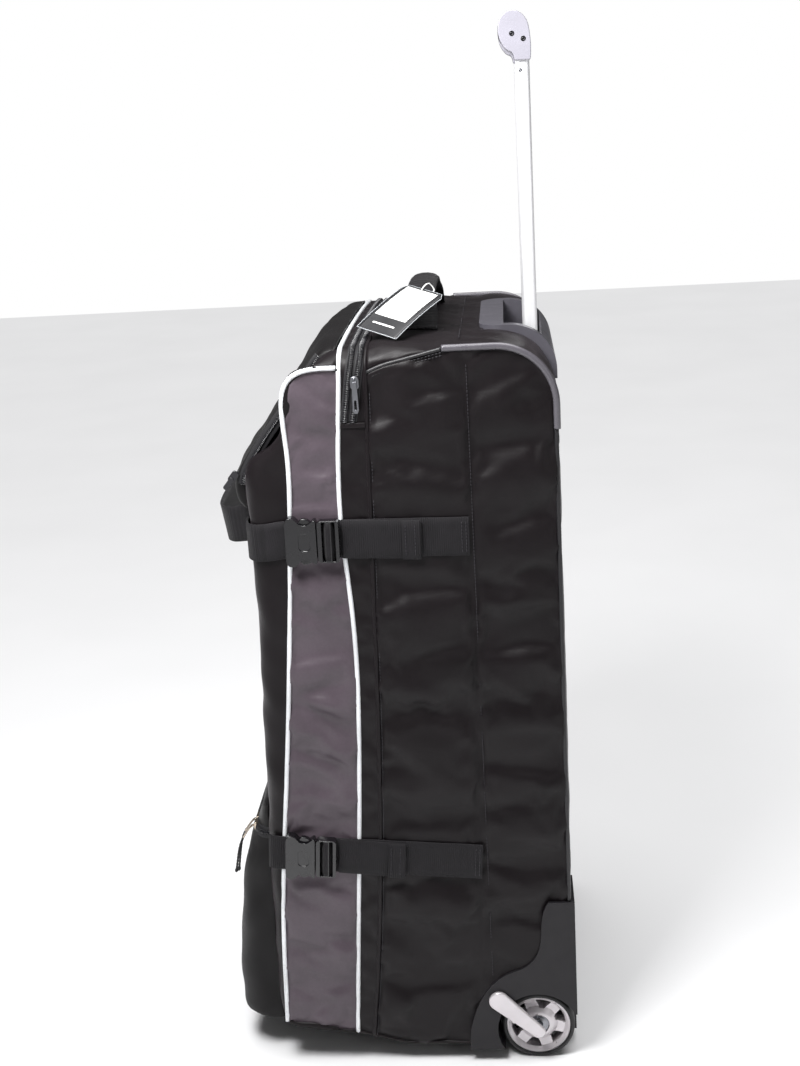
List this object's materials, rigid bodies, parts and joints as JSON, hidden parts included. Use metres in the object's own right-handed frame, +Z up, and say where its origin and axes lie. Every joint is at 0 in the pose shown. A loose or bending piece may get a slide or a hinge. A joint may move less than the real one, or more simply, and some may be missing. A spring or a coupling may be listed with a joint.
{
  "type": "rolling duffel bag",
  "caption": "Upright two-wheeled travel duffel with a telescopic handle, grey side gussets, zipped pockets and buckled compression straps.",
  "frame": {"origin": "on the floor under the middle of the bag, at the bottom centre of the bounding box", "axes": "+Z up; the front with the pockets faces -Y, the telescopic handle and wheels are at +Y; +X is the right side seen from the front"},
  "size_m": [0.388, 0.3548, 1.047],
  "materials": {
    "black_fabric": "woven polyester twill, padded",
    "grey_fabric": "grey-violet polyester with a satin sheen",
    "grey_plastic": "grey moulded plastic, satin to glossy",
    "board": "stiff polyethylene sheet",
    "webbing": "ribbed polypropylene webbing",
    "buckle_plastic": "black acetal",
    "aluminium": "satin anodised",
    "steel_tube": "plain tube",
    "dark_plastic": "fine-grained moulded plastic",
    "grip_plastic": "soft-touch plastic",
    "bright_steel": "nickel-plated",
    "silver_plastic": "silver paint",
    "tyre_rubber": "smooth polyurethane tread",
    "tag_card": "coated black card with a blank white label"
  },
  "bodies": {
    "bag": {"side_panel_right": "black_fabric", "side_panel_left": "black_fabric", "top_panel": "black_fabric", "back_panel": "black_fabric", "bottom_panel": "black_fabric", "zip_flap": "black_fabric", "front_cover": "black_fabric", "upper_pocket": "black_fabric", "lower_pocket": "black_fabric", "gusset_right": "grey_fabric", "gusset_left": "grey_fabric", "corner_guard_right": "grey_plastic", "corner_guard_left": "grey_plastic", "back_board": "board", "base_board": "board", "grab_loop": "webbing", "top_handle": "webbing", "upper_strap_right": "webbing", "upper_strap_left": "webbing", "lower_strap_right": "webbing", "lower_strap_left": "webbing", "upper_buckle_female_right": "buckle_plastic", "upper_buckle_female_left": "buckle_plastic", "upper_buckle_male_right": "buckle_plastic", "upper_buckle_male_left": "buckle_plastic", "lower_buckle_female_right": "buckle_plastic", "lower_buckle_female_left": "buckle_plastic", "lower_buckle_male_right": "buckle_plastic", "lower_buckle_male_left": "buckle_plastic", "outer_tube_right": "steel_tube", "outer_tube_left": "steel_tube", "tube_bracket": "dark_plastic", "handle_bezel": "dark_plastic", "wheel_housing_right": "dark_plastic", "wheel_housing_left": "dark_plastic", "front_foot_right": "dark_plastic", "front_foot_left": "dark_plastic", "axle_right": "bright_steel", "axle_left": "bright_steel", "wheel_strut_right": "silver_plastic", "wheel_strut_left": "silver_plastic"},
    "trolley": {"inner_tube_right": "aluminium", "inner_tube_left": "aluminium", "grip_cap_right": "grey_plastic", "grip_cap_left": "grey_plastic", "grip_bar": "grip_plastic", "button_spring": "bright_steel"},
    "grip_button": {"grip_button": "dark_plastic"},
    "wheel_right": {"tyre_right": "tyre_rubber", "wheel_rim_right": "silver_plastic", "bearing_right": "bright_steel"},
    "wheel_left": {"tyre_left": "tyre_rubber", "wheel_rim_left": "silver_plastic", "bearing_left": "bright_steel"},
    "main_slider": {"main_slider": "bright_steel"},
    "main_pull": {"main_pull": "bright_steel"},
    "lower_slider_inner": {"lower_slider_inner": "bright_steel"},
    "lower_slider_outer": {"lower_slider_outer": "bright_steel"},
    "upper_slider": {"upper_slider": "bright_steel"},
    "hang_tag": {"hang_tag": "tag_card"}
  },
  "joints": [
    {"name": "trolley_slide", "type": "slide", "parent": "bag", "child": "trolley", "axis": [0, 0, 1], "range_m": [-0.282, 0]},
    {"name": "button_press", "type": "slide", "parent": "trolley", "child": "grip_button", "axis": [0, 0, 1], "range_m": [-0.003, 0], "stiffness_N_per_m": 600, "deforming": ["button_spring"]},
    {"name": "wheel_right_spin", "type": "hinge", "parent": "bag", "child": "wheel_right", "pos_m": [0.164, 0.137, 0.038], "axis": [1, 0, 0], "continuous": true},
    {"name": "wheel_left_spin", "type": "hinge", "parent": "bag", "child": "wheel_left", "pos_m": [-0.164, 0.137, 0.038], "axis": [1, 0, 0], "continuous": true},
    {"name": "main_zip_slide", "type": "slide", "parent": "bag", "child": "main_slider", "axis": [0, -0.058, -0.9983], "range_m": [0, 0.09]},
    {"name": "main_pull_lift", "type": "hinge", "parent": "main_slider", "child": "main_pull", "pos_m": [0.1859, -0.011, 0.7286], "axis": [0, -1, 0], "range_deg": [0, 115]},
    {"name": "lower_zip_inner_slide", "type": "slide", "parent": "bag", "child": "lower_slider_inner", "axis": [-1, 0, 0], "range_m": [0, 0.25]},
    {"name": "lower_zip_outer_slide", "type": "slide", "parent": "bag", "child": "lower_slider_outer", "axis": [1, 0, 0], "range_m": [0, 0.01]},
    {"name": "upper_zip_slide", "type": "slide", "parent": "bag", "child": "upper_slider", "axis": [0, 0.6347, 0.7727], "range_m": [0, 0.1]},
    {"name": "tag_swing", "type": "hinge", "parent": "bag", "child": "hang_tag", "pos_m": [0.087, 0.0535, 0.7975], "axis": [-0.5187, -0.8212, 0.2377], "range_deg": [0, 40]}
  ]
}
